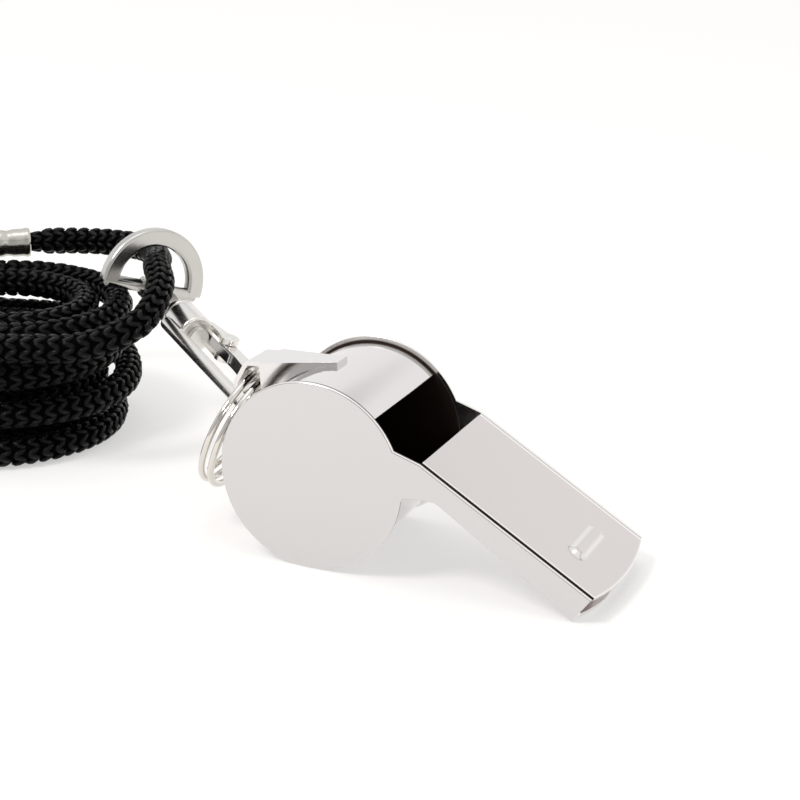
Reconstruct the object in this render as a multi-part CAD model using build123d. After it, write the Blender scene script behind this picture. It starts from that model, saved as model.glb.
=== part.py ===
from build123d import *
import os
from math import acos, asin, atan2, cos, degrees, hypot, pi, radians, sin, tan

# A stamped metal pea whistle on a split ring, with a swivel snap hook and a knitted neck cord.
# Millimetres. +X runs along the mouthpiece as it lies, Y along the barrel, +Z up from the table,
# and the origin is on the table under the middle of the barrel.

# Whistle body. Angles go round the barrel from the line of the mouthpiece.
DISC_RADIUS = 10.5
BODY_WIDTH = 18.5
SHEET = 0.5
RIM_PROUD = 0.65
RIM_ROUND = 0.15
WINDOW_ANGLE = 77.0
NOTCH_ANGLE = 55.6
ROOT_ANGLE = 27.6
ROOT_ROUND = 0.8
ROOF_HEIGHT = 9.4
ROOF_START = 9.0
MOUTH_REACH = 31.4
MOUTH_RAKE = 0.35
MOUTH_DEPTH = 3.3
THROAT_START = 12.6
THROAT_DEPTH = 2.4
THROAT_ROUND = 1.5
LIP_BULGE = 1.1
GROOVE = 0.2

# Bite bead on the mouthpiece roof
BEAD_REACH = 27.2
BEAD_LENGTH = 8.2
BEAD_WIDTH = 2.5
BEAD_RISE = 0.45
BEAD_ROUND = 0.3

# Cork pea
PEA_RADIUS = 4.75
PEA_GAP = 0.2

# Ring lug: a strap folded at its apex and heel, with a hood that tapers to its nose
LUG_APEX_STAND = 4.65
LUG_APEX_ANGLE = 171.1
LUG_HEEL_STAND = 4.35
LUG_HEEL_ANGLE = 184.1
LUG_END_ANGLE = 193.4
LUG_LAP_ANGLE = 3.0
LUG_WIDTH = 5.8
LUG_STRAP_WIDTH = 4.8
LUG_NOSE_WIDTH = 2.6
LUG_BEND = 0.9
LUG_EYE = 2.0

# Split ring
RING_WIRE = 0.75
RING_PITCH = 1.2
RING_TURNS = 2
RING_RADIUS = 6.8
RING_PLAY = 0.3
RING_LEAN = 22.0
RING_SHIFT = -0.5

# Snap hook, measured along its shank from the ring's wire
HOOK_BEARING = 35.6
HOOK_RISE = 10.9
HOOK_ROD = 1.6
CLAW_BORE = 3.8
CLAW_OFFSET = 0.7
CLAW_TIP = 4.5
COLLAR_START = 18.5
COLLAR_LENGTH = 4.5
COLLAR_RADIUS = 2.4
COLLAR_ROUND = 0.3
GATE_PIN_SETBACK = 3.0
GATE_PIN_DROP = 2.75
GATE_PIN_RADIUS = 0.5
GATE_BOSS_RADIUS = 1.1
GATE_WIDTH = 1.6
GATE_LIP = 1.0
GATE_BACK = 1.2
EAR_THICKNESS = 0.65
EAR_RADIUS = 1.2
SPRING_SHEET = 0.2
SPRING_WIDTH = 1.2
SPRING_LENGTH = 6.0
RUNNING_GAP = 0.05

# Swivel post and D-ring
STEM_RADIUS = 0.9
STEM_HEAD_RADIUS = 1.25
STEM_HEAD_LENGTH = 0.8
POST_FLANGE = 0.8
POST_REACH = 9.0
POST_WIDTH = 2.6
POST_BOSS_RADIUS = 1.25
D_BAR_RADIUS = 0.8
D_WIDTH = 14.4
D_HEIGHT = 7.7
D_STOCK = 2.2
D_THICKNESS = 1.6
D_ROUND = 0.45
D_ROLL = 18.0

# Neck cord. The coil is wound from its top layer down, clockwise seen from above.
CORD_DIAMETER = 3.7
COIL_CENTRE = (-54.8, 13.2)
COIL_RADIUS = 17.0
COIL_PITCH = 4.2
COIL_RISE = 4.6
COIL_LAYERS = 4
COIL_LEAN = 0.8
COIL_START_ANGLE = -60.0
COIL_TURNS = 9.17
COIL_STEPS_PER_TURN = 4
SLEEVE_LENGTH = 11.0
SLEEVE_WALL = 0.4
CRIMP_DIAMETER = 3.0
SLEEVE_CENTRE = (-64.3, 26.6, 18.8)
SLEEVE_HEADING = 42.0
SLEEVE_RUN = 5.2
LEAD_RUN = 6.3
EYE_PLAY = 0.2
EYE_RUN = 2.9
EYE_SLANT = 35.0
TO_EYE_ROUTE = [
    (-49.7, 35.6, 19.0),
    (-43.2, 33.3, 19.4),
]
FROM_EYE_ROUTE = [
    (-32.4, 17.1, 20.1),
    (-31.1, 9.8, 17.3),
]
RETURN_ROUTE = [
    (-80.0, 4.8, 3.5),
    (-84.4, 8.9, 8.8),
    (-82.9, 13.9, 14.9),
    (-76.6, 17.5, 18.3),
]

BAND_RADIUS = DISC_RADIUS - RIM_PROUD
INNER_HALF_WIDTH = BODY_WIDTH / 2 - SHEET
LUG_APEX_REACH = BAND_RADIUS + LUG_APEX_STAND
LUG_HEEL_REACH = BAND_RADIUS + LUG_HEEL_STAND


def polar(reach, angle):
    return Vector(reach * cos(radians(angle)), reach * sin(radians(angle)))


def nearest_vertex(sketch, point):
    return sketch.vertices().sort_by_distance((point.X, point.Y))[0]


def lie_on(corner):
    """Tilt at which the disc and one lower corner of the mouth touch the table together."""
    return degrees(atan2(corner.Y, corner.X) + asin(DISC_RADIUS / corner.length))


# The disc rests on the table with the first of the mouth's corners that meets it.
THROAT = Vector(THROAT_START, ROOF_HEIGHT - THROAT_DEPTH)
MOUTH_FOOT = Vector(MOUTH_REACH - MOUTH_RAKE, ROOF_HEIGHT - MOUTH_DEPTH)
FLOOR = (MOUTH_FOOT - THROAT).normalized()
FLOOR_FOOT = MOUTH_FOOT + Vector(-FLOOR.Y, FLOOR.X) * RIM_PROUD
LIP_FOOT = FLOOR_FOOT + FLOOR * ((MOUTH_REACH + LIP_BULGE - FLOOR_FOOT.X) / FLOOR.X)
LIE = min(lie_on(MOUTH_FOOT), lie_on(LIP_FOOT))
AT_REST = Pos(0, 0, DISC_RADIUS) * Rot(0, LIE, 0)


def at_rest(point):
    """A point of the flat side view, moved to where it lies on the table."""
    return (AT_REST * Pos(point.X, 0, point.Y)).position


def side_extrude(profile, width):
    """A side-view profile given a width across the whistle, centred on it."""
    return extrude(Plane.XZ * profile, amount=width / 2, both=True)


# Whistle body


def cheek_profile():
    root = polar(DISC_RADIUS, ROOT_ANGLE)
    arm = Polygon(
        (0, 0),
        root,
        THROAT,
        MOUTH_FOOT,
        (MOUTH_REACH, ROOF_HEIGHT),
        (ROOF_START, ROOF_HEIGHT),
        polar(DISC_RADIUS, NOTCH_ANGLE),
        align=None,
    )
    profile = Circle(DISC_RADIUS) + arm
    profile = fillet(nearest_vertex(profile, THROAT), THROAT_ROUND)
    return fillet(nearest_vertex(profile, root), ROOT_ROUND)


def cheek():
    """The near side plate: its outer edge is eased, and its rim stands proud of the band."""
    plate = extrude(Plane.XZ.offset(INNER_HALF_WIDTH) * cheek_profile(), amount=SHEET)
    return fillet(plate.faces().sort_by(Axis.Y)[0].edges(), RIM_ROUND)


def lip_plan():
    """Everything behind the mouth's bulging edge, between the cheeks."""
    back = -2 * DISC_RADIUS
    half = INNER_HALF_WIDTH
    edge = (
        Polyline((MOUTH_REACH, half), (back, half), (back, -half), (MOUTH_REACH, -half))
        + ThreePointArc((MOUTH_REACH, -half), (MOUTH_REACH + LIP_BULGE, 0), (MOUTH_REACH, half))
    )
    return extrude(make_face(edge), amount=2 * DISC_RADIUS, both=True)


def barrel_band():
    """One strip from the window's rear edge, round the barrel and along the mouthpiece floor."""
    root = polar(DISC_RADIUS, ROOT_ANGLE)
    notch = polar(DISC_RADIUS, NOTCH_ANGLE)
    past_mouth = THROAT + (MOUTH_FOOT - THROAT) * 2
    above = 2 * DISC_RADIUS
    filled = Circle(DISC_RADIUS) + Polygon(
        (0, 0), root, THROAT, past_mouth, (past_mouth.X, above), (notch.X, above), notch, align=None
    )
    filled = fillet(nearest_vertex(filled, THROAT), THROAT_ROUND)
    filled = fillet(nearest_vertex(filled, root), ROOT_ROUND)
    outer = offset(filled, -RIM_PROUD)
    strip = outer - offset(outer, -SHEET)
    roof_underside = ROOF_HEIGHT - SHEET
    opening = Polygon(
        (0, 0),
        polar(DISC_RADIUS, (ROOT_ANGLE + NOTCH_ANGLE) / 2),
        (THROAT_START, roof_underside),
        (2 * past_mouth.X, roof_underside),
        (2 * past_mouth.X, 2 * above),
        polar(3 * above, WINDOW_ANGLE),
        align=None,
    )
    return side_extrude(strip - opening, 2 * INNER_HALF_WIDTH) & lip_plan()


def mouthpiece_roof():
    """Top plate between the cheeks, with a groove along each side and the raised bite bead."""
    length = MOUTH_REACH + 2 * LIP_BULGE - ROOF_START
    profile = Pos(ROOF_START, ROOF_HEIGHT) * Rectangle(length, SHEET, align=(Align.MIN, Align.MAX))
    roof = side_extrude(profile, 2 * INNER_HALF_WIDTH) & lip_plan()
    sides = roof.faces().sort_by(Axis.Z)[-1].edges().filter_by(Axis.X)
    roof = chamfer(sides, GROOVE)
    seat = Plane((BEAD_REACH, 0, ROOF_HEIGHT))
    bead = extrude(seat * SlotOverall(BEAD_LENGTH, BEAD_WIDTH, rotation=90), amount=BEAD_RISE)
    bead = fillet(bead.faces().sort_by(Axis.Z)[-1].edges(), BEAD_ROUND)
    hollow = SlotOverall(BEAD_LENGTH - 2 * SHEET, BEAD_WIDTH - 2 * SHEET, rotation=90)
    under = extrude(seat.offset(-SHEET) * hollow, amount=BEAD_RISE)
    return roof + bead - under


def lug_outline():
    apex = polar(LUG_APEX_REACH, LUG_APEX_ANGLE)
    heel = polar(LUG_HEEL_REACH, LUG_HEEL_ANGLE)
    outer = BAND_RADIUS + SHEET
    foot = polar(outer, LUG_APEX_ANGLE - degrees(acos(outer / LUG_APEX_REACH)))
    outline = Polygon((0, 0), foot, apex, heel, polar(outer, LUG_END_ANGLE), align=None)
    for corner in (apex, heel):
        outline = fillet(nearest_vertex(outline, corner), LUG_BEND)
    return outline, foot, apex


def lug_taper(half_width, nose_half_width, leg, apex, reach):
    """The hood's plan, square to its top leg, narrowing from the eye to the nose."""
    tapered = Polygon(
        (-reach, -half_width),
        (LUG_EYE, -half_width),
        (reach, -nose_half_width),
        (2 * reach, -nose_half_width),
        (2 * reach, nose_half_width),
        (reach, nose_half_width),
        (LUG_EYE, half_width),
        (-reach, half_width),
        align=None,
    )
    plan = Plane((apex.X, 0, apex.Y), x_dir=(leg.X, 0, leg.Y), z_dir=(-leg.Y, 0, leg.X))
    return extrude(plan * tapered, amount=2 * DISC_RADIUS, both=True)


def ring_lug():
    """Strap from the barrel's top over the apex and heel back to the barrel, with side walls."""
    outline, foot, apex = lug_outline()
    inside = offset(outline, -SHEET)
    barrel = Circle(BAND_RADIUS)
    leg = (foot - apex).normalized()
    reach = (foot - apex).length
    past_eye = apex + leg * LUG_EYE
    ahead = Pos(past_eye.X, past_eye.Y) * Rot(0, 0, degrees(atan2(leg.Y, leg.X))) * Rectangle(
        4 * DISC_RADIUS, 4 * DISC_RADIUS, align=(Align.MIN, Align.CENTER)
    )
    walls = side_extrude((outline - barrel) & ahead, LUG_WIDTH)
    walls &= lug_taper(LUG_WIDTH / 2, LUG_NOSE_WIDTH / 2, leg, apex, reach)
    hollow = side_extrude(inside, LUG_WIDTH)
    hollow &= lug_taper(LUG_WIDTH / 2 - SHEET, LUG_NOSE_WIDTH / 2 - SHEET, leg, apex, reach)
    strap = side_extrude((outline - inside - barrel) - ahead, LUG_STRAP_WIDTH)
    foot_angle = degrees(atan2(foot.Y, foot.X))
    sector = Polygon(
        (0, 0),
        polar(2 * DISC_RADIUS, foot_angle - LUG_LAP_ANGLE),
        polar(2 * DISC_RADIUS, foot_angle),
        align=None,
    )
    lap = side_extrude((Circle(BAND_RADIUS + SHEET) - barrel) & sector, LUG_NOSE_WIDTH)
    return walls - hollow + strap + lap


def pea():
    lowest = DISC_RADIUS - BAND_RADIUS + SHEET + PEA_GAP
    return Pos(0, 0, lowest + PEA_RADIUS) * Sphere(PEA_RADIUS)


# Curves made of biarcs


def biarc(start, heading, end, end_heading):
    """Two arcs that leave start along heading and reach end along end_heading."""
    chord = end - start
    total = heading + end_heading
    spread = 2 * (1 - heading.dot(end_heading))
    pull = chord.dot(total)
    reach = ((pull * pull + spread * chord.dot(chord)) ** 0.5 - pull) / spread
    middle = (start + end + (heading - end_heading) * reach) / 2
    first = TangentArc(start, middle, tangent=heading)
    return [first, TangentArc(middle, end, tangent=first % 1)]


def heading_of(curve, at, step=1e-4):
    return (curve(at + step) - curve(at - step)).normalized()


def wound_path(curve, turns, steps, tail):
    """Biarcs along a wound curve, with a straight tail at each end."""
    places = [turns * i / steps for i in range(steps + 1)]
    points = [curve(place) for place in places]
    inset = 1e-3
    headings = [heading_of(curve, min(max(place, inset), turns - inset)) for place in places]
    edges = []
    for i in range(steps):
        edges += biarc(points[i], headings[i], points[i + 1], headings[i + 1])
    if tail:
        edges.insert(0, Line(points[0] - headings[0] * tail, points[0]))
        edges.append(Line(points[-1], points[-1] + headings[-1] * tail))
    return Wire(edges)


def tube(path, diameter):
    """A round wire or cord along a path, with its volume held to section times length."""
    section = Plane(path @ 0, z_dir=path % 0) * Circle(diameter / 2)
    solid = sweep(section, path=path)
    expected = pi * diameter**2 / 4 * path.length
    print(f"tube length {path.length:.1f} mm, volume ratio {solid.volume / expected:.4f}")
    return solid


def least_gap(curve, turns, diameter, per_turn=72):
    """Smallest clear gap between parts of a wound tube that lie half a turn or more apart."""
    points = [curve(i / per_turn) for i in range(int(turns * per_turn) + 1)]
    apart = per_turn // 2
    nearest = min(
        (points[i] - points[j]).length
        for i in range(len(points))
        for j in range(i + apart, len(points))
    )
    return nearest - diameter


# Split ring, leaning out from its seat in the lug


def ring_seat():
    """Middle of the ring's wire in the lug's bend, clear of both legs as the wire curves away."""
    apex = polar(LUG_APEX_REACH, LUG_APEX_ANGLE)
    heel = polar(LUG_HEEL_REACH, LUG_HEEL_ANGLE)
    up = (apex - heel).normalized()
    back = (polar(BAND_RADIUS + SHEET, LUG_END_ANGLE) - heel).normalized()
    from_rear = SHEET + (RING_PITCH + RING_WIRE) / 2 + RING_PLAY
    sideways = LUG_STRAP_WIDTH / 2 + abs(RING_SHIFT)
    sag = RING_RADIUS - (RING_RADIUS**2 - sideways**2) ** 0.5
    from_floor = SHEET + RING_WIRE + sag + RING_PLAY
    spread = sin(acos(up.dot(back)))
    return at_rest(heel + (up * from_floor + back * from_rear) / spread)


RING_DOWN = Vector(-sin(radians(RING_LEAN)), 0, -cos(radians(RING_LEAN)))
RING_AXIS = Vector(cos(radians(RING_LEAN)), 0, -sin(radians(RING_LEAN)))
RING_SEAT = ring_seat()
RING_CENTRE = RING_SEAT + RING_DOWN * RING_RADIUS + Vector(0, RING_SHIFT, 0)


def ring_curve(turn):
    """Two turns that start and end at the foot of the ring."""
    angle = 2 * pi * turn
    rise = RING_PITCH * (turn - RING_TURNS / 2)
    around = RING_DOWN * (RING_RADIUS * cos(angle)) + Vector(0, RING_RADIUS * sin(angle), 0)
    return RING_CENTRE + around + RING_AXIS * rise


def split_ring():
    print(f"split ring least gap {least_gap(ring_curve, RING_TURNS, RING_WIRE):.2f} mm")
    path = wound_path(ring_curve, RING_TURNS, 4 * RING_TURNS, tail=0)
    return tube(path, RING_WIRE)


# Snap hook: local x runs up the shank, local y towards the spine

RING_HOLD = RING_CENTRE + Vector(0, RING_RADIUS, 0)
SHANK = Vector(
    -cos(radians(HOOK_RISE)) * cos(radians(HOOK_BEARING)),
    cos(radians(HOOK_RISE)) * sin(radians(HOOK_BEARING)),
    sin(radians(HOOK_RISE)),
)
HOOK_NORMAL = (RING_DOWN - SHANK * RING_DOWN.dot(SHANK)).normalized() * -1
HOOK = Plane(RING_HOLD, x_dir=SHANK, z_dir=HOOK_NORMAL)
CLAW_RADIUS = (CLAW_BORE + HOOK_ROD) / 2
COLLAR_END = COLLAR_START + COLLAR_LENGTH
GATE_PIN = Vector(COLLAR_START - GATE_PIN_SETBACK, -GATE_PIN_DROP)


def along_shank(radius, start, end, ease=0):
    """A cylinder on the shank's axis between two distances from the ring's wire, its rims eased."""
    face = Plane(HOOK.from_local_coords((start, 0, 0)), z_dir=SHANK) * Circle(radius)
    solid = extrude(face, amount=end - start)
    return fillet(solid.edges().filter_by(GeomType.CIRCLE), ease) if ease else solid


def hook_slab(profile, low, high):
    """A profile in the hook's plane, given thickness from low to high across it."""
    return extrude(HOOK.offset(low) * profile, amount=high - low)


def hook_body():
    """Round rod bent to a claw, a collar for the swivel and two ears for the gate."""
    bend = CLAW_OFFSET
    rod = (
        Line((COLLAR_END - HOOK_ROD, CLAW_RADIUS), (bend, CLAW_RADIUS))
        + ThreePointArc((bend, CLAW_RADIUS), (bend - CLAW_RADIUS, 0), (bend, -CLAW_RADIUS))
        + Line((bend, -CLAW_RADIUS), (CLAW_TIP, -CLAW_RADIUS))
    )
    path = HOOK * rod
    section = Plane(path @ 0, z_dir=path % 0) * Circle(HOOK_ROD / 2)
    body = sweep(section, path=path)
    for end in (path @ 0, path @ 1):
        body += Pos(end) * Sphere(HOOK_ROD / 2)
    body += along_shank(COLLAR_RADIUS, COLLAR_START, COLLAR_END, COLLAR_ROUND)
    body -= along_shank(STEM_RADIUS + RUNNING_GAP, COLLAR_START, COLLAR_END)
    web_top = -(STEM_HEAD_RADIUS + GATE_PIN_DROP) / 2 + SPRING_SHEET
    ear = Pos(GATE_PIN.X, GATE_PIN.Y) * Circle(EAR_RADIUS) + Polygon(
        (GATE_PIN.X, GATE_PIN.Y - EAR_RADIUS / 2),
        (COLLAR_START + EAR_RADIUS, -COLLAR_RADIUS),
        (COLLAR_START + EAR_RADIUS, web_top),
        (GATE_PIN.X, web_top),
        align=None,
    )
    ear -= Pos(GATE_PIN.X, GATE_PIN.Y) * Circle(GATE_PIN_RADIUS)
    inner = GATE_WIDTH / 2 + RUNNING_GAP
    for low in (inner, -inner - EAR_THICKNESS):
        body += hook_slab(ear, low, low + EAR_THICKNESS)
    return body


def hook_gate():
    """Lever between the ears, whose stepped end closes on the inside of the claw's tip."""
    tip_end = CLAW_TIP + HOOK_ROD / 2 + 2 * RUNNING_GAP
    tip_inside = -CLAW_BORE / 2 + RUNNING_GAP
    back = -CLAW_RADIUS - HOOK_ROD / 2 + 2 * RUNNING_GAP
    inside = -GATE_PIN_DROP + GATE_BOSS_RADIUS
    lever = Polygon(
        (GATE_PIN.X, inside),
        (COLLAR_START - SPRING_LENGTH - GATE_BACK, inside),
        (tip_end - GATE_LIP, tip_inside + GATE_LIP * 0.8),
        (tip_end - GATE_LIP - HOOK_ROD / 2, tip_inside),
        (tip_end, tip_inside),
        (tip_end, back + HOOK_ROD / 2),
        (tip_end + GATE_BACK, back),
        (GATE_PIN.X, GATE_PIN.Y - GATE_BOSS_RADIUS / 2),
        align=None,
    )
    lever += Pos(GATE_PIN.X, GATE_PIN.Y) * Circle(GATE_BOSS_RADIUS)
    lever -= Pos(GATE_PIN.X, GATE_PIN.Y) * Circle(GATE_PIN_RADIUS + RUNNING_GAP)
    return hook_slab(lever, -GATE_WIDTH / 2, GATE_WIDTH / 2)


def gate_pin():
    half = GATE_WIDTH / 2 + RUNNING_GAP + EAR_THICKNESS
    return hook_slab(Pos(GATE_PIN.X, GATE_PIN.Y) * Circle(GATE_PIN_RADIUS), -half, half)


def gate_spring():
    """Leaf that stands on the collar and presses on the inside of the lever."""
    low = -GATE_PIN_DROP + GATE_BOSS_RADIUS + RUNNING_GAP
    leaf = Pos(COLLAR_START, low) * Rectangle(
        SPRING_LENGTH, SPRING_SHEET, align=(Align.MAX, Align.MIN)
    )
    return hook_slab(leaf, -SPRING_WIDTH / 2, SPRING_WIDTH / 2)


# Swivel post and D-ring. The bar lies across the shank, rolled down a little on its far side.

BAR_CENTRE = HOOK.from_local_coords((COLLAR_END + POST_REACH, 0, 0))
LEVEL = Vector(SHANK.Y, -SHANK.X, 0).normalized()
BAR = LEVEL * cos(radians(D_ROLL)) + SHANK.cross(LEVEL) * sin(radians(D_ROLL))
ARCH = (Vector(0, 0, 1) - BAR * BAR.Z).normalized()
D_PLANE = Plane(BAR_CENTRE, x_dir=BAR, z_dir=BAR.cross(ARCH))


def swivel_post():
    """Headed stem through the collar, and a tapered neck with a cross bore for the bar."""
    post = along_shank(STEM_RADIUS, COLLAR_START - RUNNING_GAP, COLLAR_END + RUNNING_GAP)
    head_end = COLLAR_START - RUNNING_GAP
    post += along_shank(STEM_HEAD_RADIUS, head_end - STEM_HEAD_LENGTH, head_end)
    flange_start = COLLAR_END + RUNNING_GAP
    post += along_shank(COLLAR_RADIUS, flange_start, flange_start + POST_FLANGE, COLLAR_ROUND)
    neck = Plane(BAR_CENTRE, x_dir=SHANK, z_dir=BAR)
    flange_back = flange_start + POST_FLANGE - COLLAR_END - POST_REACH
    blade = Circle(POST_BOSS_RADIUS) + Polygon(
        (flange_back, -STEM_RADIUS),
        (0, -POST_BOSS_RADIUS),
        (0, POST_BOSS_RADIUS),
        (flange_back, STEM_RADIUS),
        align=None,
    )
    blade -= Circle(D_BAR_RADIUS + RUNNING_GAP)
    return post + extrude(neck * blade, amount=POST_WIDTH / 2, both=True)


def d_ring():
    """Round bar closed by a flat crescent arch."""
    half = D_WIDTH / 2
    inner = half - D_STOCK
    outside = Line((-half, 0), (half, 0)) + ThreePointArc((half, 0), (0, D_HEIGHT), (-half, 0))
    inside = Line((-inner, 0), (inner, 0)) + ThreePointArc(
        (inner, 0), (0, D_HEIGHT - D_STOCK), (-inner, 0)
    )
    arch = make_face(outside) - make_face(inside)
    ring = extrude(D_PLANE * arch, amount=D_THICKNESS / 2, both=True)
    flat_sides = ring.faces().filter_by(Axis(BAR_CENTRE, D_PLANE.z_dir))
    ring = fillet(flat_sides.edges().filter_by(GeomType.CIRCLE), D_ROUND)
    ends = Plane(BAR_CENTRE - BAR * (half - D_BAR_RADIUS), z_dir=BAR)
    return ring + extrude(ends * Circle(D_BAR_RADIUS), amount=D_WIDTH - 2 * D_BAR_RADIUS)


# Neck cord


def coil_curve(turn):
    """Clockwise spiral, in and out at a steady rate, that drops a layer at each reversal."""
    per_layer = COIL_TURNS / COIL_LAYERS
    phase = turn % (2 * per_layer)
    inward = min(phase, 2 * per_layer - phase)
    radius = COIL_RADIUS - COIL_PITCH * inward
    dropped = 0.0
    for layer in range(1, COIL_LAYERS):
        share = min(max((turn - layer * per_layer) * 2 + 0.5, 0.0), 1.0)
        dropped += share * share * (3 - 2 * share)
    height = CORD_DIAMETER / 2 + COIL_RISE * (COIL_LAYERS - 1 - dropped)
    lean = COIL_LEAN * (COIL_LAYERS - 1 - dropped)
    flat = polar(radius, COIL_START_ANGLE - 360 * turn)
    return Vector(COIL_CENTRE[0] + lean + flat.X, COIL_CENTRE[1] + flat.Y, height)


def coil_heading(turn):
    """The coil's heading, taken just inside its ends, where the spiral would reverse."""
    inset = 1e-3
    return heading_of(coil_curve, min(max(turn, inset), COIL_TURNS - inset))


def cord_coil():
    print(f"cord coil least gap {least_gap(coil_curve, COIL_TURNS, CORD_DIAMETER):.2f} mm")
    steps = round(COIL_TURNS * COIL_STEPS_PER_TURN)
    path = wound_path(coil_curve, COIL_TURNS, steps, tail=CORD_DIAMETER)
    return tube(path, CORD_DIAMETER)


def bend_radii(points):
    """As large a bend at each point of a route as its two runs allow."""
    radii = []
    for before, here, after in zip(points, points[1:], points[2:]):
        turn = radians((here - before).get_angle(after - here))
        shorter = min((here - before).length, (after - here).length)
        radii.append(0.45 * shorter / tan(turn / 2))
    return radii


def cord_stretch(points):
    radii = bend_radii(points)
    print("stretch radii", " ".join(f"{radius:.1f}" for radius in radii))
    return tube(FilletPolyline(*points, radius=radii), CORD_DIAMETER)


SLEEVE_AXIS = Vector(cos(radians(SLEEVE_HEADING)), sin(radians(SLEEVE_HEADING)), 0)
SLEEVE_MIDDLE = Vector(*SLEEVE_CENTRE)


def crimped_end(direction):
    """The squeezed end of the cord, from the sleeve's face to its middle."""
    face = Plane(SLEEVE_MIDDLE, z_dir=direction) * Circle(CRIMP_DIAMETER / 2)
    return extrude(face, amount=SLEEVE_LENGTH / 2)


def cord_sleeve():
    end = Plane(SLEEVE_MIDDLE - SLEEVE_AXIS * (SLEEVE_LENGTH / 2), z_dir=SLEEVE_AXIS)
    bore = CRIMP_DIAMETER / 2 + RUNNING_GAP
    wall = Circle(bore + SLEEVE_WALL) - Circle(bore)
    return extrude(end * wall, amount=SLEEVE_LENGTH)


def cord_top_stretch():
    """From the sleeve over the pile's far side, through the D-ring and down to the coil."""
    heading = coil_heading(0)
    end = coil_curve(0) - heading * CORD_DIAMETER
    sleeve_end = SLEEVE_MIDDLE + SLEEVE_AXIS * (SLEEVE_LENGTH / 2)
    eye = BAR_CENTRE + ARCH * (POST_BOSS_RADIUS + EYE_PLAY + CORD_DIAMETER / 2)
    slant = radians(EYE_SLANT)
    through = D_PLANE.z_dir * cos(slant) - BAR * sin(slant)
    points = [sleeve_end, sleeve_end + SLEEVE_AXIS * SLEEVE_RUN]
    points += [Vector(*point) for point in TO_EYE_ROUTE]
    points += [eye - through * EYE_RUN, eye + through * EYE_RUN]
    points += [Vector(*point) for point in FROM_EYE_ROUTE]
    points += [end - heading * LEAD_RUN, end]
    return cord_stretch(points) + crimped_end(SLEEVE_AXIS)


def cord_return_stretch():
    """From the coil's foot up the pile's outer side to the sleeve."""
    heading = coil_heading(COIL_TURNS)
    start = coil_curve(COIL_TURNS) + heading * CORD_DIAMETER
    points = [start, start + heading * LEAD_RUN]
    points += [Vector(*point) for point in RETURN_ROUTE]
    sleeve_end = SLEEVE_MIDDLE - SLEEVE_AXIS * (SLEEVE_LENGTH / 2)
    points += [sleeve_end - SLEEVE_AXIS * SLEEVE_RUN, sleeve_end]
    return cord_stretch(points) + crimped_end(SLEEVE_AXIS * -1)


def main():
    near = cheek()
    flat_parts = {
        "near_cheek": near,
        "far_cheek": mirror(near, about=Plane.XZ),
        "barrel_band": barrel_band(),
        "mouthpiece_roof": mouthpiece_roof(),
        "ring_lug": ring_lug(),
    }
    parts = {name: AT_REST * part for name, part in flat_parts.items()}
    parts.update(
        pea=pea(),
        split_ring=split_ring(),
        hook_body=hook_body(),
        hook_gate=hook_gate(),
        gate_pin=gate_pin(),
        gate_spring=gate_spring(),
        swivel_post=swivel_post(),
        d_ring=d_ring(),
        cord_sleeve=cord_sleeve(),
        cord_top_stretch=cord_top_stretch(),
        cord_coil=cord_coil(),
        cord_return_stretch=cord_return_stretch(),
    )
    os.makedirs("parts", exist_ok=True)
    for name, part in parts.items():
        export_step(part, f"parts/{name}.step")


main()
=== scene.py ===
"""Looks of a stamped metal pea whistle with its split ring, snap hook and knitted neck cord."""

import logging
import math
from dataclasses import dataclass, replace
from enum import Enum

import bmesh
import bpy
import numpy as np
from mathutils import Matrix


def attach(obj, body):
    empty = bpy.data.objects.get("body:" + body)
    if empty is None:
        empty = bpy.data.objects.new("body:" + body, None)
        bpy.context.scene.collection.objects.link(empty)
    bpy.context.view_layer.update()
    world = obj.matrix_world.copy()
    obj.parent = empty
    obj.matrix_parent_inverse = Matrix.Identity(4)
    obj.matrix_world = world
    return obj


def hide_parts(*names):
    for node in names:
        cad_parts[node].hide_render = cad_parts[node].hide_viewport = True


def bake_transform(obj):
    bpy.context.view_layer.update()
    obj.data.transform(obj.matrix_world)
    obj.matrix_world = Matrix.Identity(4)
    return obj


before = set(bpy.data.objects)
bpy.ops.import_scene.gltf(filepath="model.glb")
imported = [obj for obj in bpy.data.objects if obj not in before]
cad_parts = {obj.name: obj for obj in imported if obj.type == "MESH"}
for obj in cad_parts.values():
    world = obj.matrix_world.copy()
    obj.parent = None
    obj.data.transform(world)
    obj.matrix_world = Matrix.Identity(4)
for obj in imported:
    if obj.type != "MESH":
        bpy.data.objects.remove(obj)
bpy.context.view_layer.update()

LOG = logging.getLogger("whistle")

Colour = tuple[float, float, float]
Point = tuple[float, float, float]
Feed = bpy.types.NodeSocket | float | tuple[float, ...]

MM = 0.001
FULL_TURN = 2 * math.pi
UPWARD: Point = (0.0, 0.0, 1.0)

# Height in millimetres of the barrel's axis, and a length in millimetres that is past every piece
AXIS_HEIGHT = 10.5
NOWHERE = 99.0

# Metres within which points are doubles, and degrees within which faces are flat
SAME_PLACE = 1e-7
SAME_PLANE = 0.4

# Name of the UV map that follows a yarn, and places of a Mix node's sockets
YARN_MAP = "stitch"
MIX_VALUE_INPUTS, MIX_VALUE_OUTPUT = (0, 2, 3), 0
MIX_COLOUR_INPUTS, MIX_COLOUR_OUTPUT = (0, 6, 7), 2


class Polish(Enum):
    """How far a plated surface was polished: roughness, and how strongly it varies."""

    BRIGHT = (0.10, 0.05)
    SATIN = (0.20, 0.05)
    CAST = (0.26, 0.08)


class LegSide(Enum):
    """The two legs of a knitted stitch, by the side of the stitch they lie on."""

    LEFT = -1.0
    RIGHT = 1.0


# Arrays and meshes


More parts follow.
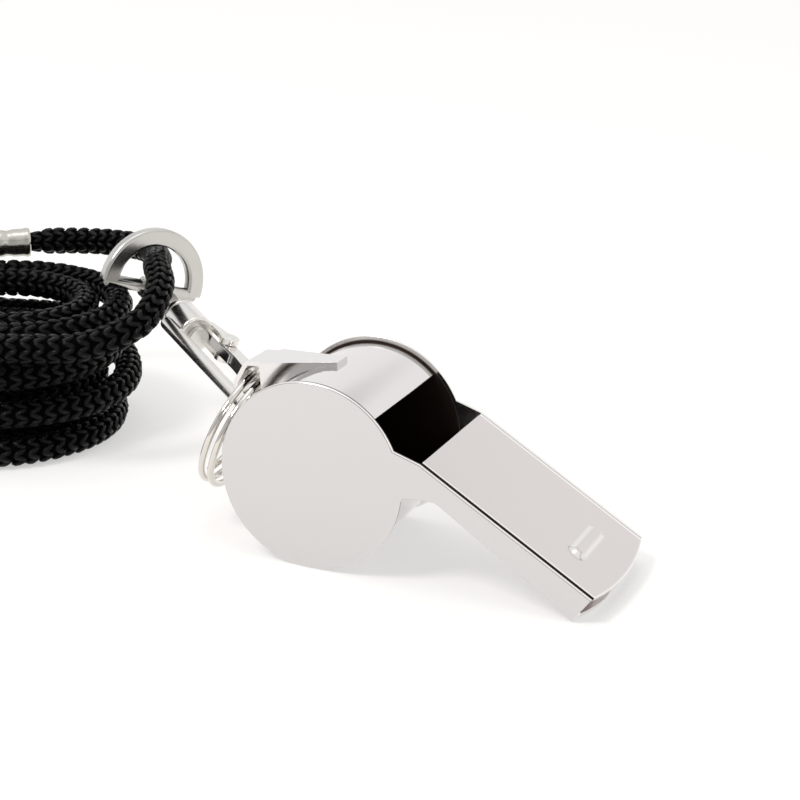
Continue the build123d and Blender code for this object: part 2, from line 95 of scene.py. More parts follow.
def smooth_step(share: np.ndarray) -> np.ndarray:
    """A step from nought to one: three times a share's square less twice its cube.

    Args:
        share: how far along the step each place is, which is kept within nought and one.

    Returns:
        The height of the step at each place.
    """
    share = np.clip(share, 0.0, 1.0)
    return share * share * (3 - 2 * share)


def grid_faces(rows: int, columns: int, wrap_rows: bool, wrap_columns: bool) -> np.ndarray:
    """Quads that join the neighbours of a grid of points.

    Args:
        rows: number of rows of points.
        columns: number of points in a row.
        wrap_rows: whether the last row joins the first.
        wrap_columns: whether the last column joins the first.

    Returns:
        Vertex numbers, one row of four per quad.
    """
    row = np.arange(rows if wrap_rows else rows - 1)[:, None]
    column = np.arange(columns if wrap_columns else columns - 1)[None, :]
    next_row, next_column = (row + 1) % rows, (column + 1) % columns
    corners = [row * columns + column, row * columns + next_column]
    corners += [next_row * columns + next_column, next_row * columns + column]
    return np.stack(np.broadcast_arrays(*corners), axis=-1).reshape(-1, 4)


def fan_faces(centre: int, ring: np.ndarray) -> np.ndarray:
    """Triangles that close a ring of vertices to one centre vertex.

    Args:
        centre: number of the centre vertex.
        ring: numbers of the ring's vertices, in order.

    Returns:
        Vertex numbers, one row of three per triangle.
    """
    return np.stack([np.full(len(ring), centre), ring, np.roll(ring, -1)], axis=-1)


def face_volume(points: np.ndarray, faces: list[np.ndarray]) -> float:
    """Signed volume inside a closed set of faces, as the sum of tetrahedra from the origin.

    Args:
        points: vertex positions.
        faces: arrays of quads or triangles.

    Returns:
        The volume, negative where the faces point inwards.
    """
    total = 0.0
    for group in faces:
        first = points[group[:, 0]]
        for second in range(1, group.shape[1] - 1):
            edge = np.cross(points[group[:, second]], points[group[:, second + 1]])
            total += float(np.einsum("ij,ij->", first, edge)) / 6.0
    return total


def mesh_piece(
    name: str,
    points: np.ndarray,
    faces: list[np.ndarray],
    uv: np.ndarray | None = None,
    closed: bool = True,
) -> bpy.types.Object:
    """Makes an object at the origin from whole arrays of points and faces.

    Args:
        name: name of the piece.
        points: vertex positions in metres.
        faces: arrays of quads or triangles.
        uv: one pair of numbers per vertex for the piece's UV map, if it has one.
        closed: whether the faces enclose a volume, so that they can be turned outwards.

    Returns:
        The new object, linked to the scene and smooth shaded.
    """
    if closed and face_volume(points, faces) < 0:
        faces = [group[:, ::-1] for group in faces]
    corners = np.concatenate([group.ravel() for group in faces]).astype(np.int32)
    sizes = np.concatenate([np.full(len(group), group.shape[1]) for group in faces])
    starts = np.concatenate([[0], np.cumsum(sizes)[:-1]]).astype(np.int32)
    mesh = bpy.data.meshes.new(name)
    mesh.vertices.add(len(points))
    mesh.vertices.foreach_set("co", points.astype(np.float32).ravel())
    mesh.loops.add(len(corners))
    mesh.loops.foreach_set("vertex_index", corners)
    mesh.polygons.add(len(starts))
    mesh.polygons.foreach_set("loop_start", starts)
    mesh.update(calc_edges=True)
    if uv is not None:
        layer = mesh.uv_layers.new(name=YARN_MAP)
        layer.data.foreach_set("uv", uv[corners].astype(np.float32).ravel())
    mesh.validate()
    mesh.shade_smooth()
    piece = bpy.data.objects.new(name, mesh)
    bpy.context.scene.collection.objects.link(piece)
    return piece


def paint(piece: bpy.types.Object, material: bpy.types.Material) -> None:
    """Gives a piece one material in place of any it has."""
    piece.data.materials.clear()
    piece.data.materials.append(material)


def shade_evenly(piece: bpy.types.Object, sharp: float = 42.0) -> None:
    """Smooths a piece, its large flat faces counting for most.

    Args:
        piece: the piece.
        sharp: angle between two faces, in degrees, from which their edge stays sharp.
    """
    piece.data.shade_smooth()
    piece.data.set_sharp_from_angle(angle=math.radians(sharp))
    even = piece.modifiers.new("even_shading", "WEIGHTED_NORMAL")
    even.keep_sharp = True


def ease_edges(
    piece: bpy.types.Object, width: float, least_turn: float = 50.0, steps: int = 2
) -> None:
    """Rounds a piece's edges where its faces turn far enough.

    Args:
        piece: the piece.
        width: width of the rounding in millimetres.
        least_turn: angle between two faces, in degrees, from which their edge is rounded.
        steps: faces across the rounding.
    """
    edge = piece.modifiers.new("eased_edge", "BEVEL")
    edge.width = width * MM
    edge.segments = steps
    edge.limit_method = "ANGLE"
    edge.angle_limit = math.radians(least_turn)


def joined_shape(node: str) -> bmesh.types.BMesh:
    """A CAD node's faces with their doubles merged and their flat triangles joined.

    Args:
        node: name of the node.

    Returns:
        The shape, which the caller frees.
    """
    shape = bmesh.new()
    shape.from_mesh(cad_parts[node].data)
    bmesh.ops.remove_doubles(shape, verts=shape.verts, dist=SAME_PLACE)
    flat = math.radians(SAME_PLANE)
    bmesh.ops.dissolve_limit(shape, angle_limit=flat, verts=shape.verts, edges=shape.edges)
    return shape


@dataclass(frozen=True)
class PolishedNode:
    """An evenly shaded copy of a CAD node, with its sharp edges eased.

    Fields: the node, the body it rides on, its slot in the record, the width in millimetres that
    its edges are eased by, and for a piece that bends, the cuts across its longest edges and the
    share of the longest from which an edge is cut.
    """

    node: str
    body: str
    slot: str
    ease: float = 0.06
    cuts: int = 0
    cut_from: float = 0.9

    def build(self, material: bpy.types.Material) -> bpy.types.Object:
        """Makes the copy, which rides on its body and stands for its node.

        Args:
            material: its finish.

        Returns:
            The piece.
        """
        piece = self.copy_node()
        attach(piece, self.body)
        stand_for(piece, self.node, material)
        return piece

    def copy_node(self) -> bpy.types.Object:
        """The copy alone: joined faces, cut across where the piece bends, with eased edges.

        Returns:
            The piece.
        """
        shape = joined_shape(self.node)
        if self.cuts:
            least = self.cut_from * max(edge.calc_length() for edge in shape.edges)
            long_edges = [edge for edge in shape.edges if edge.calc_length() > least]
            bmesh.ops.subdivide_edges(shape, edges=long_edges, cuts=self.cuts, use_grid_fill=True)
        mesh = bpy.data.meshes.new(f"polished_{self.node}")
        shape.to_mesh(mesh)
        shape.free()
        piece = bpy.data.objects.new(mesh.name, mesh)
        bpy.context.scene.collection.objects.link(piece)
        ease_edges(piece, self.ease)
        shade_evenly(piece)
        return piece


def stand_for(piece: bpy.types.Object, node: str, material: bpy.types.Material) -> None:
    """Lets a piece stand for a CAD node.

    Args:
        piece: the piece.
        node: the node that it replaces.
        material: its finish.
    """
    paint(piece, material)
    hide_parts(node)
    LOG.info("made %s", piece.name)


# Shader groups and finishes


def opaque(colour: Colour) -> tuple[float, float, float, float]:
    """A colour with full alpha, as a colour socket takes it."""
    return (*colour, 1.0)


@dataclass(frozen=True)
class Wiring:
    """A node tree, to which nodes are added with numbers, colours or links on their inputs."""

    tree: bpy.types.NodeTree

    def feed(self, node: bpy.types.Node, inputs: dict[str | int, Feed]) -> bpy.types.Node:
        """Sets a node's inputs: another node's output is linked, and anything else is a value.

        Args:
            node: the node.
            inputs: what goes to each input, by its name or place.

        Returns:
            The node.
        """
        for place, value in inputs.items():
            if isinstance(value, bpy.types.NodeSocket):
                self.tree.links.new(value, node.inputs[place])
            else:
                node.inputs[place].default_value = value
        return node

    def add(
        self, kind: str, inputs: dict[str | int, Feed] | None = None, **settings: object
    ) -> bpy.types.Node:
        """Adds a node.

        Args:
            kind: type of the node.
            inputs: what goes to each input, by its name or place.
            settings: the node's own settings, which are made before its inputs.

        Returns:
            The node.
        """
        node = self.tree.nodes.new(kind)
        for setting, choice in settings.items():
            setattr(node, setting, choice)
        return self.feed(node, inputs or {})

    def math(self, operation: str, *values: Feed, clamp: bool = False) -> bpy.types.NodeSocket:
        """Adds a math node.

        Args:
            operation: what it does.
            values: the sockets or numbers that it works on.
            clamp: whether its result is kept within nought and one.

        Returns:
            The result's socket.
        """
        inputs = dict(enumerate(values))
        node = self.add("ShaderNodeMath", inputs, operation=operation, use_clamp=clamp)
        return node.outputs[0]

    def smooth_range(
        self,
        value: bpy.types.NodeSocket,
        limits: tuple[Feed, Feed],
        results: tuple[float, float] = (0.0, 1.0),
    ) -> bpy.types.NodeSocket:
        """Adds a smooth step from one number to another.

        Args:
            value: what the step depends on.
            limits: the values at which the step begins and ends.
            results: the numbers before and after it.

        Returns:
            The result's socket.
        """
        inputs = {"Value": value, "From Min": limits[0], "From Max": limits[1]}
        inputs |= {"To Min": results[0], "To Max": results[1]}
        node = self.add("ShaderNodeMapRange", inputs, interpolation_type="SMOOTHSTEP")
        return node.outputs["Result"]

    def mix_colour(
        self, share: bpy.types.NodeSocket, first: Feed, second: Feed
    ) -> bpy.types.NodeSocket:
        """Adds a colour between two.

        Args:
            share: share of the second.
            first: the first colour.
            second: the second colour.

        Returns:
            The result's socket.
        """
        inputs = dict(zip(MIX_COLOUR_INPUTS, (share, first, second)))
        node = self.add("ShaderNodeMix", inputs, data_type="RGBA")
        return node.outputs[MIX_COLOUR_OUTPUT]

    def mix_value(
        self, share: bpy.types.NodeSocket, first: Feed, second: Feed
    ) -> bpy.types.NodeSocket:
        """Adds a number between two.

        Args:
            share: share of the second.
            first: the first number.
            second: the second number.

        Returns:
            The result's socket.
        """
        inputs = dict(zip(MIX_VALUE_INPUTS, (share, first, second)))
        return self.add("ShaderNodeMix", inputs).outputs[MIX_VALUE_OUTPUT]

    def bump(
        self, height: bpy.types.NodeSocket, strength: float, depth: float
    ) -> bpy.types.NodeSocket:
        """Adds normals that are bent by a height.

        Args:
            height: the height, as a share of the depth.
            strength: how far the normals bend.
            depth: depth of the relief in millimetres.

        Returns:
            The normals' socket.
        """
        inputs = {"Height": height, "Strength": strength, "Distance": depth * MM}
        return self.add("ShaderNodeBump", inputs).outputs["Normal"]

    def object_place(self) -> bpy.types.NodeSocket:
        """A point's Object coordinates."""
        return self.add("ShaderNodeTexCoord").outputs["Object"]


def new_material(name: str) -> tuple[bpy.types.Material, Wiring, bpy.types.Node]:
    """Starts a material.

    Args:
        name: its name.

    Returns:
        The material, the wiring of its nodes, and its shader.
    """
    material = bpy.data.materials.new(name)
    material.use_nodes = True
    tree = material.node_tree
    return material, Wiring(tree), tree.nodes["Principled BSDF"]


class ShaderGroups:
    """Node groups that several finishes share, each built once."""

    cloud_scale: float = 180.0
    cloud_detail: float = 3.0
    noise_middle: float = 0.5
    line_stretch: Point = (500.0, 6000.0, 500.0)
    line_scale: float = 1.0
    line_detail: float = 2.0
    filament_twist: float = 5.0

    def __init__(self) -> None:
        """Builds the groups."""
        self.polish = self._polish_marks()
        self.fibre = self._fibre_strands()
        self.shade = self._barrel_shade()

    @staticmethod
    def _new_group(name: str, inputs: list[str], outputs: list[str]) -> Wiring:
        """A group with float inputs, which each finish sets, and float outputs.

        Args:
            name: name of the group.
            inputs: input names.
            outputs: output names.

        Returns:
            The wiring of the group's nodes, with its input and output nodes in place.
        """
        tree = bpy.data.node_groups.new(name, "ShaderNodeTree")
        for way, labels in {"INPUT": inputs, "OUTPUT": outputs}.items():
            for label in labels:
                tree.interface.new_socket(label, in_out=way, socket_type="NodeSocketFloat")
        tree.nodes.new("NodeGroupInput").name = "in"
        tree.nodes.new("NodeGroupOutput").name = "out"
        return Wiring(tree)

    def _polish_marks(self) -> bpy.types.NodeTree:
        """Roughness and height of plated metal: broad clouding and fine polishing lines.

        Returns:
            A group with Base, Spread and Lines inputs, and Roughness and Height outputs.
        """
        inputs = ["Base", "Spread", "Lines"]
        wiring = self._new_group("polish_marks", inputs, ["Roughness", "Height"])
        tree = wiring.tree
        given = tree.nodes["in"].outputs
        place = wiring.object_place()
        cloud = wiring.add(
            "ShaderNodeTexNoise",
            {"Vector": place, "Scale": self.cloud_scale, "Detail": self.cloud_detail},
        )
        stretch = wiring.add("ShaderNodeMapping", {"Vector": place, "Scale": self.line_stretch})
        stretched = stretch.outputs["Vector"]
        lines = wiring.add(
            "ShaderNodeTexNoise",
            {"Vector": stretched, "Scale": self.line_scale, "Detail": self.line_detail},
        )
        centred = wiring.math("SUBTRACT", cloud.outputs["Fac"], self.noise_middle)
        rough = wiring.math("MULTIPLY_ADD", centred, given["Spread"], given["Base"])
        height = wiring.math("MULTIPLY", lines.outputs["Fac"], given["Lines"])
        wiring.feed(tree.nodes["out"], {"Roughness": rough, "Height": height})
        return tree

    def _barrel_shade(self) -> bpy.types.NodeTree:
        """Masks of where shade and highlights are painted on the body, in Object coordinates.

        The inside, dull and painted dark as the shade within the barrel, is where a point's
        distance from the barrel's axis falls below Within, over the width of Soft, and it lies
        between the cheeks, closer to the middle than Half Width. The seam's painted shade is on
        the near side, from Seam out to Seam End. A painted highlight lies on the rim, further from
        the axis than
        Rim and closer to the middle than Rim Half Width, and along the groove, from Groove out to
        Groove End on both sides.
        out to Groove End on both sides.

        Returns:
            A group with lengths in metres as inputs, and Inside, Seam and Worn outputs.
        """
        lengths = ["Axis Height", "Within", "Soft", "Half Width", "Seam", "Seam End"]
        lengths += ["Rim", "Rim Half Width", "Groove", "Groove End"]
        wiring = self._new_group("barrel_shade", lengths, ["Inside", "Seam", "Highlight"])
        tree = wiring.tree
        given = tree.nodes["in"].outputs

        def strip(value: bpy.types.NodeSocket, start: str, end: str) -> bpy.types.NodeSocket:
            """One where a value lies between two of the group's inputs."""
            begun = wiring.math("GREATER_THAN", value, given[start])
            return wiring.math("MULTIPLY", begun, wiring.math("LESS_THAN", value, given[end]))

        place = wiring.add("ShaderNodeSeparateXYZ", {"Vector": wiring.object_place()}).outputs
        height = wiring.math("SUBTRACT", place["Z"], given["Axis Height"])
        squares = [wiring.math("MULTIPLY", part, part) for part in (place["X"], height)]
        reach = wiring.math("SQRT", wiring.math("ADD", *squares))
        faded = wiring.math("ADD", given["Within"], given["Soft"])
        beyond = wiring.smooth_range(reach, (given["Within"], faded))
        across = wiring.math("ABSOLUTE", place["Y"])
        between = wiring.math("LESS_THAN", across, given["Half Width"])
        # The inside, dull and painted dark as the shade within the barrel
        inside = wiring.math("MULTIPLY", wiring.math("SUBTRACT", 1.0, beyond), between)
        # Painted shade along the near seam
        seam = strip(wiring.math("MULTIPLY", place["Y"], -1.0), "Seam", "Seam End")
        # Painted highlight on the rim, and along the groove on both sides
        past = wiring.math("GREATER_THAN", reach, given["Rim"])
        within = wiring.math("LESS_THAN", across, given["Rim Half Width"])
        rim = wiring.math("MULTIPLY", past, within)
        highlight = wiring.math("MAXIMUM", rim, strip(across, "Groove", "Groove End"))
        wiring.feed(tree.nodes["out"], {"Inside": inside, "Seam": seam, "Highlight": highlight})
        return tree

    def _fibre_strands(self) -> bpy.types.NodeTree:
        """Height of the fine filaments that run along a yarn, on its own UV map.

        Returns:
            A group with a Count input and a Height output.
        """
        wiring = self._new_group("fibre_strands", ["Count"], ["Height"])
        tree = wiring.tree
        count = tree.nodes["in"].outputs["Count"]
        yarn = wiring.add("ShaderNodeUVMap", uv_map=YARN_MAP).outputs["UV"]
        place = wiring.add("ShaderNodeSeparateXYZ", {"Vector": yarn}).outputs
        around = wiring.math("MULTIPLY", place["Y"], count)
        twist = wiring.math("MULTIPLY_ADD", place["X"], self.filament_twist, around)
        wiring.feed(tree.nodes["out"], {"Height": wiring.math("SINE", twist)})
        return tree


@dataclass(frozen=True)
class PlatedFinish:
    """Plated metal with polishing marks.

    Fields: name, colour of the plating, how it was polished, strength of the polishing lines, and
    strength and depth in millimetres of the bump that they give.
    """

    name: str
    colour: Colour
    polish: Polish
    lines: float = 0.02
    bump: float = 0.12
    bump_depth: float = 0.02

    def build(self, groups: ShaderGroups) -> bpy.types.Material:
        """Makes the material.

        Args:
            groups: the shared shader groups.

        Returns:
            The new material.
        """
        material, wiring, shader = new_material(self.name)
        base, spread = self.polish.value
        marks = wiring.add(
            "ShaderNodeGroup",
            {"Base": base, "Spread": spread, "Lines": self.lines},
            node_tree=groups.polish,
        ).outputs
        wiring.feed(shader, {
            "Base Color": opaque(self.colour),
            "Metallic": 1.0,
            "Roughness": marks["Roughness"],
            "Normal": wiring.bump(marks["Height"], self.bump, self.bump_depth),
        })
        return material


@dataclass(frozen=True)
class StampedFinish:
    """Plated sheet of the body: bright outside, dull inside with painted shade, painted shade
    along the near seam and painted highlights on edges.

    Fields: the plating, and in millimetres the distance from the barrel's axis within which the
    sheet is dull and painted dark as shade, the width over which that fades and the half width
    that it is kept to, where the painted shade of the near seam begins and ends, out from the
    middle, the distance from the axis at which a painted highlight on the rim begins and its half
    width, where a painted highlight along a groove begins and ends, and the name of a piece's own
    attribute that lightens it, if it has one. Then come the colours of the painted highlight, the
    painted shade inside and the painted shade along the seam, and the roughness of the dull
    inside.
    """

    plating: PlatedFinish
    dull_and_shaded_within: float
    fade: float
    half_width: float
    seam: float = NOWHERE
    seam_end: float = NOWHERE
    rim: float = NOWHERE
    rim_half_width: float = 9.2
    groove: float = NOWHERE
    groove_end: float = NOWHERE
    lightening: str = ""
    # Colour of the painted highlights
    highlight_colour: Colour = (0.95, 0.93, 0.90)
    # Colour of the painted shade inside the barrel
    inside_shade_colour: Colour = (0.045, 0.031, 0.024)
    # Colour of the painted shade in the gap along the near seam
    seam_shade_colour: Colour = (0.024, 0.010, 0.007)
    dull_roughness: float = 0.55

    def build(self, groups: ShaderGroups) -> bpy.types.Material:
        """Makes the material: the plating, then painted highlights, the seam's painted shade and
        the inside's painted shade over its colour, and the dull inside's roughness.

        Args:
            groups: the shared shader groups.

        Returns:
            The new material.
        """
        material = self.plating.build(groups)
        wiring = Wiring(material.node_tree)
        shader = material.node_tree.nodes["Principled BSDF"]
        lengths = {
            "Axis Height": AXIS_HEIGHT,
            "Within": self.dull_and_shaded_within, "Soft": self.fade, "Half Width": self.half_width,
            "Seam": self.seam, "Seam End": self.seam_end,
            "Rim": self.rim, "Rim Half Width": self.rim_half_width,
            "Groove": self.groove, "Groove End": self.groove_end,
        }
        metres = {label: length * MM for label, length in lengths.items()}
        shade = wiring.add("ShaderNodeGroup", metres, node_tree=groups.shade).outputs
        # Painted highlight on the rim and along the groove, and from a piece's own attribute
        highlight = shade["Highlight"]
        if self.lightening:
            lightened = wiring.add("ShaderNodeAttribute", attribute_name=self.lightening).outputs["Fac"]
            highlight = wiring.math("MAXIMUM", highlight, lightened)
        tone = wiring.mix_colour(highlight, opaque(self.plating.colour), opaque(self.highlight_colour))
        # Painted shade along the near seam
        tone = wiring.mix_colour(shade["Seam"], tone, opaque(self.seam_shade_colour))
        # Painted shade inside the barrel; the dull roughness below is the sheet's own
        tone = wiring.mix_colour(shade["Inside"], tone, opaque(self.inside_shade_colour))
        polished = shader.inputs["Roughness"].links[0].from_socket
        rough = wiring.mix_value(shade["Inside"], polished, self.dull_roughness)
        wiring.feed(shader, {"Base Color": tone, "Roughness": rough})
        return material


@dataclass(frozen=True)
class YarnFinish:
    """Dark knitted yarn: a weak gloss, and filaments along each stitch leg.

    Fields: name, two tones of the yarn, roughness and gloss, scale of the patches of tone, number
    of filaments, and strength and depth in millimetres of their bump.
    """

    name: str
    colour: Colour
    light_colour: Colour
    roughness: float
    gloss: float
    patch_scale: float = 700.0
    filaments: float = 9.0
    bump: float = 0.5
    bump_depth: float = 0.04

    def build(self, groups: ShaderGroups) -> bpy.types.Material:
        """Makes the material.

        Args:
            groups: the shared shader groups.

        Returns:
            The new material.
        """
        material, wiring, shader = new_material(self.name)
        count = {"Count": self.filaments}
        fibre = wiring.add("ShaderNodeGroup", count, node_tree=groups.fibre).outputs["Height"]
        patches = {"Vector": wiring.object_place(), "Scale": self.patch_scale}
        patch = wiring.add("ShaderNodeTexNoise", patches).outputs["Fac"]
        wiring.feed(shader, {
            "Base Color": wiring.mix_colour(patch, opaque(self.colour), opaque(self.light_colour)),
            "Roughness": self.roughness,
            "Specular IOR Level": self.gloss,
            "Normal": wiring.bump(fibre, self.bump, self.bump_depth),
        })
        return material


@dataclass(frozen=True)
class CorkFinish:
    """Pressed cork: brown grains of several tones with dark pores.

    Fields: name, colours of the grains and the pores, roughness, scale of the grains, and
    strength and depth in millimetres of their bump.
    """

    name: str
    colour: Colour
    pore_colour: Colour
    roughness: float = 0.85
    grain_scale: float = 900.0
    bump: float = 0.6
    bump_depth: float = 0.15

    def build(self, groups: ShaderGroups) -> bpy.types.Material:
        """Makes the material.

        Args:
            groups: the shared shader groups, none of which cork uses.

        Returns:
            The new material.
        """
        material, wiring, shader = new_material(self.name)
        grains = {"Vector": wiring.object_place(), "Scale": self.grain_scale}
        grain = wiring.add("ShaderNodeTexVoronoi", grains).outputs["Distance"]
        wiring.feed(shader, {
            "Base Color": wiring.mix_colour(grain, opaque(self.pore_colour), opaque(self.colour)),
            "Roughness": self.roughness,
            "Normal": wiring.bump(grain, self.bump, self.bump_depth),
        })
        return material


# The studio


@dataclass(frozen=True)
class Studio:
    """Camera, floor and light. Lengths in millimetres, angles in degrees.

    The heights, spreads and ends of the sky's parts are shares of a direction's length.
    """

    camera_place: Point = (83.9, -187.7, 89.3)
    yaw: float = -22.46
    pitch: float = 19.51
    roll: float = 2.01
    lens: float = 90.0
    sensor: float = 36.0
    nearest_seen: float = 10.0
    floor_size: float = 4000.0
    floor_points: int = 3
    floor_colour: Colour = (0.98, 0.95, 0.91)
    floor_roughness: float = 0.9
    floor_gloss: float = 0.1
    floor_glow: float = 0.5
    key_place: Point = (-180.0, -260.0, 420.0)
    key_power: float = 1.3
    key_size: float = 140.0
    sky_strength: float = 1.0
    gap_height: float = 0.56
    gap_spread: float = 0.10
    gap_strength: float = 0.6
    behind_ends: tuple[float, float] = (-0.8, -0.1)
    behind_strength: float = 0.55
    ceiling_height: float = 0.97
    ceiling_spread: float = 0.02
    ceiling_strength: float = 2.0

    def build(self) -> None:
        """Makes the camera, the floor and the lights."""
        self._camera()
        self._floor()
        self._sky()
        self._lamp()
        bpy.context.scene.view_settings.view_transform = "Standard"

    @staticmethod
    def _put(thing: bpy.types.Object, axes: list[np.ndarray], place: Point) -> None:
        """Links a camera or lamp to the scene.

        Args:
            thing: the camera or lamp.
            axes: the directions of its right, its top and its back.
            place: where it is, in millimetres.
        """
        turned = Matrix(np.stack(axes, axis=1).tolist()).to_4x4()
        turned.translation = np.array(place) * MM
        thing.matrix_world = turned
        bpy.context.scene.collection.objects.link(thing)

    def _camera(self) -> None:
        """Places the camera: its forward line from yaw and pitch, then turned by its roll."""
        yaw, pitch, roll = (math.radians(a) for a in (self.yaw, self.pitch, self.roll))
        ahead = np.array([
            math.sin(yaw) * math.cos(pitch), math.cos(yaw) * math.cos(pitch), -math.sin(pitch)
        ])
        right = np.array([math.cos(yaw), -math.sin(yaw), 0.0])
        up = np.cross(right, ahead)
        turned_right = right * math.cos(roll) + up * math.sin(roll)
        turned_up = up * math.cos(roll) - right * math.sin(roll)
        data = bpy.data.cameras.new("photo_view")
        data.lens = self.lens
        data.sensor_width = self.sensor
        data.clip_start = self.nearest_seen * MM
        camera = bpy.data.objects.new("photo_view", data)
        self._put(camera, [turned_right, turned_up, -ahead], self.camera_place)
        bpy.context.scene.camera = camera

    def _floor(self) -> None:
        """A wide flat floor, on a grid of points from corner to corner.

        It glows where the camera, a reflection or glass sees it, so that it stays pale there.
        """
        half = self.floor_size * MM / 2
        across = np.linspace(-half, half, self.floor_points)
        x, y = np.meshgrid(across, across)
        points = np.stack([x, y, np.zeros_like(x)], axis=-1).reshape(-1, 3)
        faces = [grid_faces(self.floor_points, self.floor_points, False, False)]
        floor = mesh_piece("table", points, faces, closed=False)
        material, wiring, shader = new_material("pale_table")
        wiring.feed(shader, {
            "Base Color": opaque(self.floor_colour),
            "Roughness": self.floor_roughness,
            "Specular IOR Level": self.floor_gloss,
        })
        ray = wiring.add("ShaderNodeLightPath").outputs
        seen = wiring.math("ADD", ray["Is Camera Ray"], ray["Is Glossy Ray"])
        seen = wiring.math("ADD", seen, ray["Is Transmission Ray"], clamp=True)
        share = wiring.math("MULTIPLY", seen, self.floor_glow)
        glow = wiring.add("ShaderNodeEmission").outputs[0]
        blend = wiring.add("ShaderNodeMixShader", {0: share, 1: shader.outputs[0], 2: glow})
        wiring.feed(material.node_tree.nodes["Material Output"], {"Surface": blend.outputs[0]})
        paint(floor, material)

    def _sky(self) -> None:
        """A white sky with a soft darker gap between wall and ceiling.

        The gap's darkness falls off with the distance of a direction's height from the gap's. The
        room behind the photographer is darker too, by how far a direction points that way, and a
        soft patch of the ceiling, straight above, is brighter.
        """
        world = bpy.data.worlds.new("white_room")
        world.use_nodes = True
        wiring = Wiring(world.node_tree)
        heading = wiring.add("ShaderNodeTexCoord").outputs["Generated"]
        parts = wiring.add("ShaderNodeSeparateXYZ", {"Vector": heading}).outputs
        away = wiring.math("ABSOLUTE", wiring.math("SUBTRACT", parts["Z"], self.gap_height))
        gap = wiring.smooth_range(away, (0.0, self.gap_spread), (self.gap_strength, 1.0))
        behind = wiring.smooth_range(parts["Y"], self.behind_ends, (self.behind_strength, 1.0))
        edges = (
            self.ceiling_height - self.ceiling_spread, self.ceiling_height + self.ceiling_spread
        )
        ceiling = wiring.smooth_range(parts["Z"], edges, (1.0, self.ceiling_strength))
        light = wiring.math("MULTIPLY", wiring.math("MULTIPLY", gap, behind), ceiling)
        sky = world.node_tree.nodes["Background"]
        wiring.feed(sky, {"Strength": self.sky_strength, "Color": light})
        bpy.context.scene.world = world

    def _lamp(self) -> None:
        """One large lamp that points at the origin."""
        data = bpy.data.lights.new("key_lamp", "AREA")
        data.energy = self.key_power
        data.size = self.key_size * MM
        lamp = bpy.data.objects.new("key_lamp", data)
        aim = np.array(self.key_place) / np.linalg.norm(self.key_place)
        side = np.cross(UPWARD, aim)
        side /= np.linalg.norm(side)
        self._put(lamp, [side, np.cross(aim, side), aim], self.key_place)


# The whistle and its fittings


